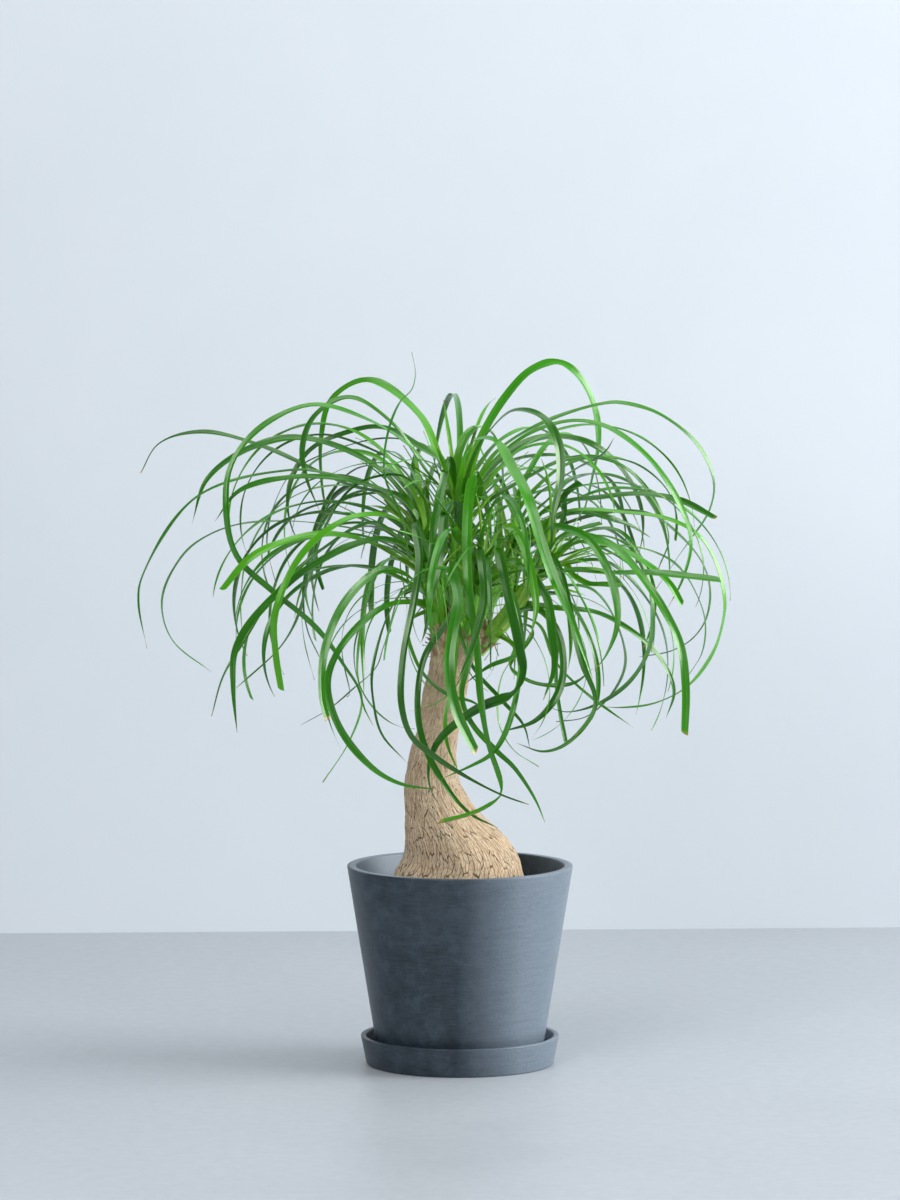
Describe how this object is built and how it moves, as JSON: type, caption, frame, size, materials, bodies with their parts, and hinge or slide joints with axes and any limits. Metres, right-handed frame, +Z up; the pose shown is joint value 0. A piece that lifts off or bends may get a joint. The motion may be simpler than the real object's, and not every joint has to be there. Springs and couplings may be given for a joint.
{
  "type": "potted ponytail palm",
  "caption": "Ponytail palm with a swollen trunk and arching strap leaves, growing in a tapered round slate-grey pot that stands on its saucer.",
  "frame": {"origin": "centre of the saucer's underside", "axes": "+Z up, +X to the right and -Y towards the viewer as the picture shows the plant"},
  "size_m": [0.6571, 0.528, 0.791],
  "materials": {
    "slate_composite": "matte, mottled like slate, with fine scuffs",
    "soil": "crumbly and dull",
    "bark": "dry fissured bark, cracked in plates at the swollen foot",
    "leaves": "smooth and satin, bright at the leaf bases"
  },
  "bodies": {
    "root": {"saucer": "slate_composite", "pot": "slate_composite", "potting_soil": "soil", "trunk": "bark", "head_left": "leaves", "head_centre": "leaves", "head_right": "leaves", "head_right_back": "leaves", "head_front": "leaves", "head_back": "leaves"}
  },
  "joints": []
}
